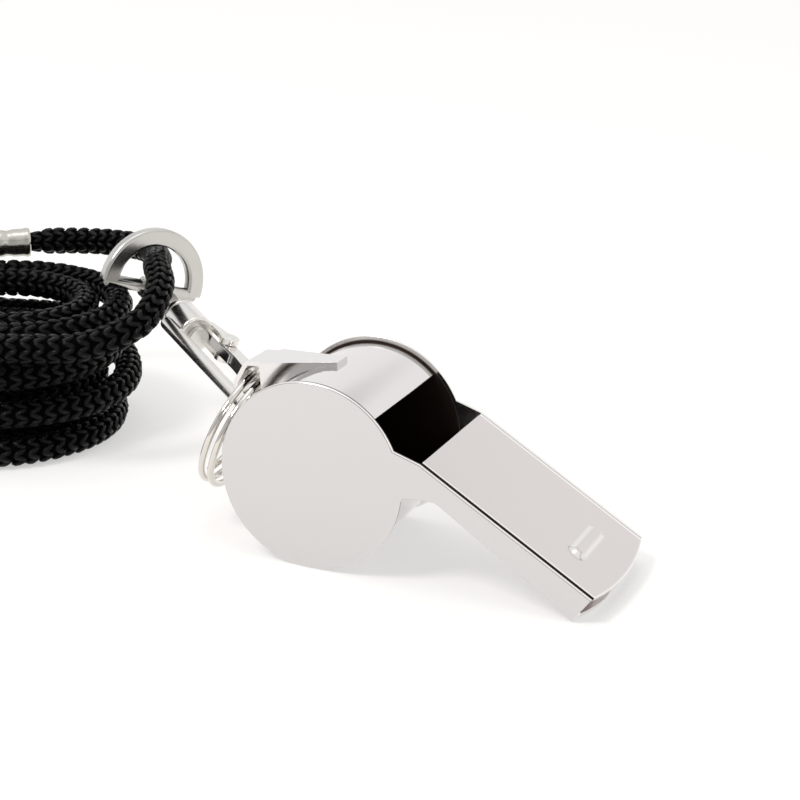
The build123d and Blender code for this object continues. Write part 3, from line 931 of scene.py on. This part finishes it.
@dataclass(frozen=True)
class PressedRoof:
    """The mouthpiece's top plate with its pressed bite bead. Lengths in millimetres.

    It is laid out flat in the whistle's side view, with the barrel's axis as its origin, and then
    tipped by the angle at which the whistle lies.
    """

    start: float = 9.0
    reach: float = 31.4
    bulge: float = 1.1
    half_width: float = 8.75
    height: float = 9.4
    sheet: float = 0.5
    groove: float = 0.2
    bead_reach: float = 27.2
    bead_length: float = 8.2
    bead_width: float = 2.5
    bead_rise: float = 0.45
    crown: float = 0.25
    bead_margin: float = 0.3
    bead_step: float = 0.1
    rows_behind: int = 6
    columns_beside: int = 4
    lie: float = 30.06386
    ease: float = 0.06
    # Attribute that lightens the roof: a painted highlight on the bead's flanks, and a lighter lip
    lightening: str = "roof_lightening"
    most_bead_highlight: float = 0.4
    lip_rows: tuple[float, ...] = (0.25, 0.5, 0.75, 0.92, 1.0)
    lip_lightening: float = 0.9

    def _bead(self, x: np.ndarray, y: np.ndarray, trim: float) -> np.ndarray:
        """Rise of the bead: full over its crown, and falling by a smooth step to its edge.

        Args:
            x: places along the mouthpiece.
            y: places across it.
            trim: how much narrower than the bead the rise is on each side.

        Returns:
            The rise at each place.
        """
        straight = (self.bead_length - self.bead_width) / 2
        past_end = np.maximum(np.abs(y) - straight, 0.0)
        out = np.hypot(x - self.bead_reach, past_end) / (self.bead_width / 2 - trim)
        fall = smooth_step((out - self.crown) / (1 - self.crown))
        return self.bead_rise * (1 - fall)

    def _plan(self) -> tuple[np.ndarray, np.ndarray]:
        """The grid in plan: close lines over the bead, and rows that end on the lip's arc.

        Returns:
            Places along the mouthpiece and across it, a row of each from side to side.
        """
        half_bead = self.bead_width / 2 + self.bead_margin
        bead_half_length = self.bead_length / 2 + self.bead_margin
        first, last = self.bead_reach - half_bead, self.bead_reach + half_bead
        rows = round(2 * half_bead / self.bead_step) + 1
        columns = round(2 * bead_half_length / self.bead_step) + 1
        groove = self.half_width - self.groove
        sides = np.linspace(groove, bead_half_length, self.columns_beside, endpoint=False)
        sides = np.concatenate([[self.half_width], sides])
        middle = np.linspace(-bead_half_length, bead_half_length, columns)
        y = np.concatenate([-sides, middle, sides[::-1]])[None, :]
        behind = np.linspace(self.start, first, self.rows_behind, endpoint=False)
        fixed = np.concatenate([behind, np.linspace(first, last, rows)])[:, None] + 0 * y
        arc = (self.bulge**2 + self.half_width**2) / (2 * self.bulge)
        lip = self.reach + self.bulge - arc + np.sqrt(arc**2 - y**2)
        ahead = last + np.array(self.lip_rows)[:, None] * (lip - last)
        x = np.concatenate([fixed, ahead])
        return x, np.broadcast_to(y, x.shape)

    def build(self, finish: bpy.types.Material) -> None:
        """Makes the roof: the grid's upper and lower faces, joined round their edges.

        The upper face rises over the bead and falls away at the groove along each side. The lower
        face is a sheet's thickness below, and hollow under the bead. A painted highlight is
        strongest half way up the bead, by four times the product of its share of the full rise and
        what it lacks of it, and the lip is painted lighter, which fades over the last row.

        Args:
            finish: its finish.
        """
        x, y = self._plan()
        dip = np.maximum(np.abs(y) - (self.half_width - self.groove), 0.0)
        rise = self._bead(x, y, 0.0)
        above = self.height + rise - dip
        below = self.height - self.sheet + self._bead(x, y, self.sheet)
        along = np.concatenate([x, x[:, ::-1]], axis=1)
        across = np.concatenate([y, y[:, ::-1]], axis=1)
        level = np.concatenate([above, below[:, ::-1]], axis=1)
        lie = math.radians(self.lie)
        points = np.stack([
            along * math.cos(lie) + level * math.sin(lie),
            across,
            AXIS_HEIGHT - along * math.sin(lie) + level * math.cos(lie),
        ], axis=-1)
        rows, columns = along.shape
        left = np.arange(columns // 2 - 1)
        cap = np.stack([left, left + 1, columns - 2 - left, columns - 1 - left], axis=-1)
        faces = [grid_faces(rows, columns, False, True), cap[:, ::-1], cap + (rows - 1) * columns]
        piece = mesh_piece("pressed_roof", points.reshape(-1, 3) * MM, faces)
        # Painted highlight half way up the bead, and a lighter lip
        share = np.concatenate([rise, 0 * rise], axis=1) / self.bead_rise
        lightened = 4 * self.most_bead_highlight * share * (1 - share)
        lightened[-1, : x.shape[1]] = self.lip_lightening
        lightening = piece.data.attributes.new(self.lightening, "FLOAT", "POINT")
        lightening.data.foreach_set("value", lightened.astype(np.float32).ravel())
        ease_edges(piece, self.ease)
        shade_evenly(piece)
        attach(piece, "whistle")
        stand_for(piece, "mouthpiece_roof", finish)


@dataclass(frozen=True)
class WhistleBody:
    """The stamped body: cheeks, band, lug, roof and pea. Lengths in millimetres."""

    band: PolishedNode = PolishedNode("barrel_band", "whistle", "body_plate")
    lug: PolishedNode = PolishedNode("ring_lug", "whistle", "body_plate")
    roof: PressedRoof = PressedRoof()
    sheet: float = 0.5
    rim_round: float = 0.15
    inner_round: float = 0.05
    round_steps: int = 6
    pea_radius: float = 4.75
    pea_place: Point = (0.0, 0.0, 6.1)
    pea_ripple: float = 0.008
    pea_waves: tuple[int, int, int, int] = (9, 3, 5, 7)
    pea_rows: int = 34
    pea_columns: int = 48

    def build(
        self,
        near: bpy.types.Material,
        far: bpy.types.Material,
        plate: bpy.types.Material,
        roof: bpy.types.Material,
        cork: bpy.types.Material,
    ) -> None:
        """Makes the cheeks, the plates and the pea.

        Args:
            near: finish of the near cheek.
            far: finish of the far cheek.
            plate: finish of the band and lug.
            roof: finish of the mouthpiece's roof.
            cork: finish of the pea.
        """
        self._cheek("near_cheek", near)
        self._cheek("far_cheek", far)
        self.band.build(plate)
        self.lug.build(plate)
        self.roof.build(roof)
        self._pea(cork)

    def _cheek(self, node: str, finish: bpy.types.Material) -> None:
        """A cheek: the profile of its rim carried round the outline of its inner face.

        The profile goes from the inner face over a slightly eased edge, across the sheet and over
        a quarter circle to the outer face. Each of its steps is the outline moved inwards by an
        inset, along the mean of the normals of the two sides that meet at a corner.

        Args:
            node: the cheek's node.
            finish: its finish.
        """
        shape = joined_shape(node)
        inner = max(shape.faces, key=lambda face: face.calc_area())
        outline = np.array([corner.co for corner in inner.verts]) / MM
        shape.free()
        outward = math.copysign(1.0, outline[0, 1])
        flat = outline[:, [0, 2]]
        after = np.roll(flat, -1, axis=0)
        ahead = (after - flat) / np.linalg.norm(after - flat, axis=1, keepdims=True)
        turn = np.sign(np.sum(flat[:, 0] * after[:, 1] - flat[:, 1] * after[:, 0]))
        inward = turn * np.stack([-ahead[:, 1], ahead[:, 0]], axis=1)
        before = np.roll(inward, 1, axis=0)
        mitre = (inward + before) / (1 + np.sum(inward * before, axis=1, keepdims=True))
        quarter = np.linspace(0.0, math.pi / 2, self.round_steps)
        inset = np.concatenate([
            self.inner_round * (1 - np.cos(quarter[::-1])), self.rim_round * (1 - np.cos(quarter))
        ])
        rise = np.concatenate([
            self.inner_round * (1 - np.sin(quarter[::-1])),
            self.sheet - self.rim_round * (1 - np.sin(quarter)),
        ])
        moved = flat[None] + inset[:, None, None] * mitre[None]
        level = outline[0, 1] + outward * rise[:, None] + 0 * moved[..., 0]
        rings = np.stack([moved[..., 0], level, moved[..., 1]], axis=-1)
        rows, columns = rings.shape[:2]
        around = np.arange(columns)
        faces = [
            grid_faces(rows, columns, False, True),
            around[None, ::-1],
            around[None, :] + (rows - 1) * columns,
        ]
        piece = mesh_piece(f"rimmed_{node}", rings.reshape(-1, 3) * MM, faces)
        shade_evenly(piece)
        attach(piece, "whistle")
        stand_for(piece, node, finish)

    def _pea(self, cork: bpy.types.Material) -> None:
        """A cork ball: a sphere whose radius ripples by a product of waves in two angles.

        The wave round the ball is shifted by another wave from pole to pole.

        Args:
            cork: finish of the pea.
        """
        tilt = np.linspace(0.0, math.pi, self.pea_rows)[1:-1, None]
        turn = np.linspace(0.0, FULL_TURN, self.pea_columns, endpoint=False)[None, :]
        around, shift, shifts, down = self.pea_waves
        ripple = np.sin(around * turn + shift * np.sin(shifts * tilt)) * np.sin(down * tilt)
        middle = self.pea_radius * (1 - self.pea_ripple)
        reach = middle + self.pea_radius * self.pea_ripple * ripple
        ball = np.stack([
            reach * np.sin(tilt) * np.cos(turn),
            reach * np.sin(tilt) * np.sin(turn),
            reach * np.cos(tilt) + 0 * turn,
        ], axis=-1)
        rows, columns = ball.shape[:2]
        poles = np.array([[0.0, 0.0, middle], [0.0, 0.0, -middle]])
        points = np.concatenate([ball.reshape(-1, 3), poles]) + np.array(self.pea_place)
        count = rows * columns
        faces = [
            grid_faces(rows, columns, False, True),
            fan_faces(count, np.arange(columns)[::-1]),
            fan_faces(count + 1, np.arange(count - columns, count)),
        ]
        piece = mesh_piece("cork_pea", points * MM, faces)
        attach(piece, "pea")
        stand_for(piece, "pea", cork)


@dataclass(frozen=True)
class Fittings:
    """Split ring, snap hook, swivel, D-ring and the hook's leaf spring.
    """

    hook_parts: tuple[PolishedNode, ...] = (
        PolishedNode("hook_body", "hook", "hook_metal"),
        PolishedNode("hook_gate", "gate", "hook_metal"),
        PolishedNode("gate_pin", "hook", "hook_metal"),
        PolishedNode("swivel_post", "post", "hook_metal"),
    )
    split_ring: PolishedNode = PolishedNode("split_ring", "ring", "ring_wire")
    leaf_spring: PolishedNode = PolishedNode(
        "gate_spring", "hook", "spring_strip", ease=0.03, cuts=23
    )
    leaf_hold: float = 1.2
    leaf_give: float = 1.0
    eye: PolishedNode = PolishedNode("d_ring", "lanyard", "hook_metal")

    def build(
        self,
        ring: bpy.types.Material,
        hook: bpy.types.Material,
        strip: bpy.types.Material,
        eye: bpy.types.Material,
    ) -> bpy.types.Object:
        """Makes the fittings.

        Args:
            ring: finish of the split ring.
            hook: finish of the hook, its gate and the swivel.
            strip: finish of the leaf spring.
            eye: finish of the D-ring.

        Returns:
            The D-ring that the cord runs through.
        """
        for part in self.hook_parts:
            part.build(hook)
        self.split_ring.build(ring)
        self._leaf(strip)
        return self.eye.build(eye)

    def _leaf(self, strip: bpy.types.Material) -> None:
        """The leaf spring: an evenly shaded copy of its node, with its place baked into its
        points.

        Args:
            strip: its finish.
        """
        piece = self.leaf_spring.copy_node()
        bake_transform(piece)
        stand_for(piece, "gate_spring", strip)


# The neck cord


@dataclass(frozen=True)
class CordPath:
    """Points read from the cord's spline, with the frame that its surface is laid on."""

    points: np.ndarray
    along: np.ndarray
    side: np.ndarray
    up: np.ndarray

    @classmethod
    def through(cls, points: np.ndarray) -> "CordPath":
        """Builds the frame: side is square to the line and level, up is square to both.

        Args:
            points: places along the line, in millimetres.

        Returns:
            The path.
        """
        steps = np.linalg.norm(np.diff(points, axis=0), axis=1)
        along = np.concatenate([[0.0], np.cumsum(steps)])
        heading = np.gradient(points, along, axis=0)
        heading /= np.linalg.norm(heading, axis=1, keepdims=True)
        side = np.cross(heading, UPWARD)
        side /= np.linalg.norm(side, axis=1, keepdims=True)
        return cls(points, along, side, np.cross(side, heading))

    def place(self, distance: np.ndarray, angle: np.ndarray, reach: np.ndarray) -> np.ndarray:
        """Points at a distance along the line, an angle round it and a reach out from it.

        Args:
            distance: millimetres along the line.
            angle: radians round it, from the level side.
            reach: millimetres out from it.

        Returns:
            The points, in millimetres.
        """
        def at(values: np.ndarray) -> np.ndarray:
            """Values of an array at the distances, one column at a time."""
            return np.stack([np.interp(distance, self.along, values[:, i]) for i in range(3)], -1)

        outward = np.cos(angle)[..., None] * at(self.side) + np.sin(angle)[..., None] * at(self.up)
        return at(self.points) + outward * reach[..., None]


@dataclass(frozen=True)
class CrimpedSleeve:
    """The plated sleeve that joins the cord's ends. Lengths in millimetres, heading in degrees."""

    centre: Point = (-64.3, 26.6, 18.8)
    heading: float = 42.0
    length: float = 11.0
    radius: float = 1.95
    bore: float = 1.55
    dent_places: tuple[float, ...] = (-2.6, 0.0, 2.6)
    dent_depth: float = 0.16
    dent_length: float = 0.55
    roll_height: float = 0.1
    roll_inset: float = 0.35
    roll_length: float = 0.3
    rows: int = 61
    columns: int = 36

    def axis(self) -> np.ndarray:
        """The sleeve's axis, which is level."""
        angle = math.radians(self.heading)
        return np.array([math.cos(angle), math.sin(angle), 0.0])

    def build(self) -> bpy.types.Object:
        """Makes the sleeve: its outline, dented in three places and rolled at its ends, spun.

        A dent and a roll are bell curves along the sleeve.

        Returns:
            The piece.
        """
        axis = self.axis()
        half = self.length / 2
        run = np.linspace(-half, half, self.rows)
        from_dents = run[None, :] - np.array(self.dent_places)[:, None]
        dents = self.dent_depth * np.exp(-((from_dents / self.dent_length) ** 2)).sum(axis=0)
        from_roll = np.abs(run) - half + self.roll_inset
        roll = self.roll_height * np.exp(-((from_roll / self.roll_length) ** 2))
        outside = self.radius - self.roll_height - dents + roll
        along = np.concatenate([run, run[::-1]])
        reach = np.concatenate([outside, np.full(self.rows, self.bore)])
        turn = np.linspace(0.0, FULL_TURN, self.columns, endpoint=False)[:, None]
        ring = np.cos(turn) * np.cross(UPWARD, axis) + np.sin(turn) * np.array(UPWARD)
        points = np.array(self.centre) + along[:, None, None] * axis + reach[:, None, None] * ring
        faces = [grid_faces(len(along), self.columns, True, True)]
        return mesh_piece("crimped_sleeve", points.reshape(-1, 3) * MM, faces)


@dataclass(frozen=True)
class CordRoute:
    """Where the cord runs. Lengths in millimetres, the coil's start in degrees."""

    diameter: float = 3.7
    coil_centre: tuple[float, float] = (-54.8, 13.2)
    coil_lean: float = 0.8
    coil_radius: float = 17.0
    coil_pitch: float = 4.2
    coil_rise: float = 4.6
    coil_layers: int = 4
    coil_start: float = -60.0
    coil_turns: float = 9.17
    drop_turns: float = 0.5
    points_per_turn: int = 24
    end_gap: float = 0.2
    sleeve_run: float = 5.2
    lead_run: float = 6.3
    top_route: tuple[Point, ...] = (
        (-49.7, 35.6, 19.0),
        (-43.2, 33.3, 19.4),
        (-39.16, 28.05, 19.77),
        (-36.82, 22.84, 20.78),
        (-32.4, 17.1, 20.1),
        (-31.1, 9.8, 17.3),
    )
    return_route: tuple[Point, ...] = (
        (-80.0, 4.8, 3.5),
        (-84.4, 8.9, 8.8),
        (-82.9, 13.9, 14.9),
        (-76.6, 17.5, 18.3),
    )
    spline_order: int = 3
    spline_steps: int = 6
    least_step: float = 1e-4

    def coil_line(self, turn: np.ndarray) -> np.ndarray:
        """The coil's centre line: clockwise, in and out, dropping a layer at each reversal.

        Args:
            turn: turns from the coil's start.

        Returns:
            The points, in millimetres.
        """
        per_layer = self.coil_turns / self.coil_layers
        phase = np.mod(turn, 2 * per_layer)
        radius = self.coil_radius - self.coil_pitch * np.minimum(phase, 2 * per_layer - phase)
        drops = np.arange(1, self.coil_layers)[:, None] * per_layer
        dropped = smooth_step((turn[None, :] - drops) / self.drop_turns + 0.5).sum(axis=0)
        above = self.coil_layers - 1 - dropped
        height = self.diameter / 2 + self.coil_rise * above
        angle = np.radians(self.coil_start) - FULL_TURN * turn
        x = self.coil_centre[0] + self.coil_lean * above + radius * np.cos(angle)
        y = self.coil_centre[1] + radius * np.sin(angle)
        return np.stack([x, y, height], axis=-1)

    def _heading(self, turn: float, apart: float = 1e-4) -> np.ndarray:
        """The coil's heading at a turn, from two places a little apart."""
        ends = self.coil_line(np.array([turn - apart, turn + apart]))
        return (ends[1] - ends[0]) / np.linalg.norm(ends[1] - ends[0])

    def control_points(self, sleeve: CrimpedSleeve, inside: float = 1e-3) -> np.ndarray:
        """Control points from the sleeve through the D-ring, round the coil and back to it.

        Args:
            sleeve: the sleeve that joins the cord's ends.
            inside: how far inside the coil its end headings are taken, in turns.

        Returns:
            The points, in millimetres.
        """
        middle, axis = np.array(sleeve.centre), sleeve.axis()
        half = sleeve.length / 2
        count = round(self.coil_turns * self.points_per_turn) + 1
        coil = self.coil_line(np.linspace(0.0, self.coil_turns, count))
        first, last = self._heading(inside), self._heading(self.coil_turns - inside)
        start = coil[0] - first * self.diameter
        end = coil[-1] + last * self.diameter
        reaches = np.array([self.end_gap, half, half + self.sleeve_run])[:, None]
        return np.concatenate([
            middle + axis * reaches,
            np.array(self.top_route),
            [start - first * self.lead_run, start],
            coil,
            [end, end + last * self.lead_run],
            np.array(self.return_route),
            middle - axis * reaches[::-1],
        ])

    def path(self, sleeve: CrimpedSleeve) -> CordPath:
        """Reads points from a smooth spline whose control points are the route's.

        Args:
            sleeve: the sleeve that joins the cord's ends.

        Returns:
            The path along the spline.
        """
        route = self.control_points(sleeve)
        curve = bpy.data.curves.new("cord_line", "CURVE")
        curve.dimensions = "3D"
        spline = curve.splines.new("NURBS")
        spline.points.add(len(route) - 1)
        weighted = np.concatenate([route, np.ones((len(route), 1))], axis=1)
        spline.points.foreach_set("co", weighted.astype(np.float32).ravel())
        spline.order_u = self.spline_order
        spline.use_endpoint_u = True
        spline.resolution_u = self.spline_steps
        holder = bpy.data.objects.new("cord_line", curve)
        bpy.context.scene.collection.objects.link(holder)
        bpy.context.view_layer.update()
        line = bpy.data.meshes.new_from_object(holder)
        points = np.empty(len(line.vertices) * 3, np.float32)
        line.vertices.foreach_get("co", points)
        bpy.data.objects.remove(holder)
        bpy.data.meshes.remove(line)
        points = points.reshape(-1, 3).astype(float)
        apart = np.linalg.norm(np.diff(points, axis=0), axis=1) > self.least_step
        return CordPath.through(points[np.concatenate([[True], apart])])


@dataclass(frozen=True)
class KnitStitches:
    """The cord's core and the columns of V stitches on it. Lengths in millimetres.

    A column is a wale, a row of stitches is a course, and each stitch has two legs. The slant is
    in degrees, the twist in radians for each millimetre, and lift and drift are the spread of
    each leg's height and place.
    """

    core_radius: float = 1.38
    core_columns: int = 12
    wales: int = 6
    wale_depth: float = 0.1
    course: float = 1.6
    leg_length: float = 1.9
    leg_width: float = 0.68
    leg_thickness: float = 0.66
    leg_slant: float = 27.0
    leg_sides: int = 5
    leg_stations: tuple[float, ...] = (-0.58, 0.0, 0.58)
    leg_taper: float = 0.75
    leg_seat: float = 0.08
    head_rise: float = 0.12
    lift: float = 0.025
    drift: float = 0.05
    first_seed: int = 11
    twist_per_mm: float = 0.012
    sleeve_margin: float = 0.6
    squeezed: float = 0.72
    swell_run: float = 3.0

    def _swell(self, path: CordPath, distance: np.ndarray, hidden: float) -> np.ndarray:
        """Share of its full thickness that the cord has: less where the sleeve squeezes it.

        Args:
            path: the cord's path.
            distance: millimetres along it.
            hidden: length of each end inside the sleeve.

        Returns:
            The share at each distance.
        """
        out = np.minimum(distance, path.along[-1] - distance) - hidden
        return self.squeezed + (1 - self.squeezed) * smooth_step(out / self.swell_run)

    def core(self, path: CordPath, hidden: float) -> bpy.types.Object:
        """The cord's inner tube: a circle carried along the path, closed at both ends.

        Args:
            path: the cord's path.
            hidden: length of each end inside the sleeve.

        Returns:
            The piece.
        """
        columns = self.core_columns
        distance = np.broadcast_to(path.along[:, None], (len(path.along), columns))
        angle = np.linspace(0.0, FULL_TURN, columns, endpoint=False)[None, :] + 0 * distance
        reach = self.core_radius * self._swell(path, distance, hidden)
        rings = path.place(distance, angle, reach)
        rows = len(rings)
        count = rows * columns
        points = np.concatenate([rings.reshape(-1, 3), path.points[[0, -1]]])
        around = np.arange(columns)
        faces = [
            grid_faces(rows, columns, False, True),
            fan_faces(count, around[::-1]),
            fan_faces(count + 1, around + count - columns),
        ]
        uv = np.concatenate([
            np.stack([distance, angle], axis=-1).reshape(-1, 2), np.zeros((2, 2))
        ])
        return mesh_piece("cord_core", points * MM, faces, uv)

    def legs(self, path: CordPath, side: LegSide, hidden: float) -> bpy.types.Object:
        """All the left or right legs of the knitted stitches.

        A leg is a spindle of three rings and two tips. It lies aslant on the core, its foot near
        the middle of its wale and its head at the wale's edge, and its head stands a little
        prouder.

        Args:
            path: the cord's path.
            side: which leg of each stitch.
            hidden: length of each end inside the sleeve.

        Returns:
            The piece.
        """
        sides, rings = self.leg_sides, len(self.leg_stations)
        station = np.repeat(self.leg_stations, sides)
        turn = np.tile(np.linspace(0.0, FULL_TURN, sides, endpoint=False), rings)
        girth = np.sqrt(1 - self.leg_taper * station**2)
        share = np.concatenate([station, [-1.0, 1.0]])
        lengthwise = share * self.leg_length / 2
        across = np.concatenate([np.cos(turn) * girth, [0, 0]]) * self.leg_width / 2
        outward = np.concatenate([np.sin(turn) * girth, [0, 0]]) * self.leg_thickness / 2
        slant = math.radians(self.leg_slant)
        step = lengthwise * math.cos(slant) - across * math.sin(slant)
        shift = side.value * (lengthwise * math.sin(slant) + across * math.cos(slant))
        margin = hidden + self.sleeve_margin
        courses = np.arange(margin, path.along[-1] - margin, self.course)
        wale = np.arange(self.wales) * FULL_TURN / self.wales
        width = FULL_TURN * (self.core_radius + self.wale_depth) / self.wales
        jitter = np.random.default_rng(self.first_seed + list(LegSide).index(side))
        lift = jitter.normal(0.0, self.lift, (len(courses), self.wales, 1))
        drift = jitter.normal(0.0, self.drift, (len(courses), self.wales, 1))
        distance = courses[:, None, None] + drift + step[None, None, :]
        distance = np.clip(distance, 0.0, path.along[-1])
        middle = (side.value * width / 4 + shift) / self.core_radius
        angle = wale[None, :, None] + middle[None, None, :] + self.twist_per_mm * distance
        proud = self.head_rise * lengthwise / self.leg_length
        reach = (self.core_radius + self.leg_seat + outward + proud)[None, None, :] + lift
        points = path.place(distance, angle, reach * self._swell(path, distance, hidden))
        count = len(share)
        ring = np.arange(sides)
        shell = grid_faces(rings, sides, False, True)
        tips = np.concatenate([
            fan_faces(count - 2, ring[::-1]), fan_faces(count - 1, ring + (rings - 1) * sides)
        ])
        legs = np.arange(len(courses) * self.wales)[:, None, None] * count
        faces = [(legs + shell[None]).reshape(-1, 4), (legs + tips[None]).reshape(-1, 3)]
        uv_leg = np.stack([share, np.concatenate([turn, [0.0, 0.0]])], axis=-1)
        uv = np.tile(uv_leg, (len(courses) * self.wales, 1))
        return mesh_piece(f"cord_{side.name.lower()}_legs", points.reshape(-1, 3) * MM, faces, uv)


@dataclass(frozen=True)
class NeckCord:
    """The knitted neck cord: a closed loop joined by its sleeve."""

    route: CordRoute = CordRoute()
    sleeve: CrimpedSleeve = CrimpedSleeve()
    stitches: KnitStitches = KnitStitches()

    def build(
        self,
        yarn: bpy.types.Material,
        depth: bpy.types.Material,
        metal: bpy.types.Material,
        eye: bpy.types.Object,
    ) -> None:
        """Args:
            yarn: finish of the stitches.
            depth: finish of the core between them, darker and less glossy than the stitches as
                painted shade in the gaps.
            metal: finish of the sleeve.
            eye: the D-ring that the cord runs through, which is not used.
        """
        path = self.route.path(self.sleeve)
        hidden = self.sleeve.length / 2
        core = self.stitches.core(path, hidden)
        legs = [self.stitches.legs(path, side, hidden) for side in LegSide]
        sleeve = self.sleeve.build()
        paint(core, depth)
        for piece in legs:
            paint(piece, yarn)
        paint(sleeve, metal)
        for piece in (core, *legs, sleeve):
            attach(piece, "lanyard")
            LOG.info("made %s", piece.name)
        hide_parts("cord_top_stretch", "cord_coil", "cord_return_stretch")
        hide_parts("cord_sleeve")


def main() -> None:
    """Builds the studio, the whistle, its fittings and the cord."""
    logging.basicConfig(level=logging.INFO, format="%(name)s: %(message)s")
    groups = ShaderGroups()
    Studio().build()
    # Cheeks: dull inside with painted shade, and a painted highlight on the rim; the near one also
    # has painted shade along its seam
    far = StampedFinish(
        PlatedFinish("far_cheek_plate", (0.66, 0.643, 0.645), Polish.SATIN),
        dull_and_shaded_within=10.0, fade=0.18, half_width=8.78, rim=10.17,
    )
    near = replace(
        far, plating=replace(far.plating, name="near_cheek_plate"), seam=8.78, seam_end=8.95
    )
    # Band and lug: dull inside with painted shade
    plate = StampedFinish(
        PlatedFinish("bright_plate", (0.77, 0.745, 0.74), Polish.BRIGHT),
        dull_and_shaded_within=9.6, fade=0.02, half_width=9.3,
    )
    # Roof: painted shade inside and along the near seam, painted highlights along the groove and
    # on the bead's flanks, and a lighter lip
    roof = StampedFinish(
        PlatedFinish("roof_plate", (0.70, 0.66, 0.645), Polish.BRIGHT),
        dull_and_shaded_within=9.6, fade=0.02, half_width=9.3, seam=8.38, groove=8.14, groove_end=8.38,
        lightening=PressedRoof.lightening,
    )
    cork = CorkFinish("cork", (0.50, 0.33, 0.18), (0.16, 0.09, 0.045))
    WhistleBody().build(*(finish.build(groups) for finish in (near, far, plate, roof, cork)))
    ring = PlatedFinish("ring_plate", (0.72, 0.69, 0.645), Polish.BRIGHT)
    hook = PlatedFinish("hook_plate", (0.80, 0.78, 0.75), Polish.CAST)
    strip = PlatedFinish("spring_strip", (0.55, 0.55, 0.56), Polish.SATIN)
    blank = PlatedFinish("eye_plate", (0.60, 0.59, 0.565), Polish.CAST)
    eye = Fittings().build(*(finish.build(groups) for finish in (ring, hook, strip, blank)))
    yarn = YarnFinish(
        "black_yarn", (0.0007, 0.0007, 0.0007), (0.002, 0.002, 0.002), roughness=0.30, gloss=0.15
    )
    # The core, darker and less glossy than the yarn: painted shade in the gaps between stitches
    depth = YarnFinish(
        "shaded_yarn_core", (0.0005, 0.0005, 0.0005), (0.001, 0.001, 0.001), roughness=0.7, gloss=0.02
    )
    sleeve = PlatedFinish("sleeve_plate", (0.58, 0.57, 0.52), Polish.SATIN)
    NeckCord().build(yarn.build(groups), depth.build(groups), sleeve.build(groups), eye)


if __name__ == "__main__":
    main()
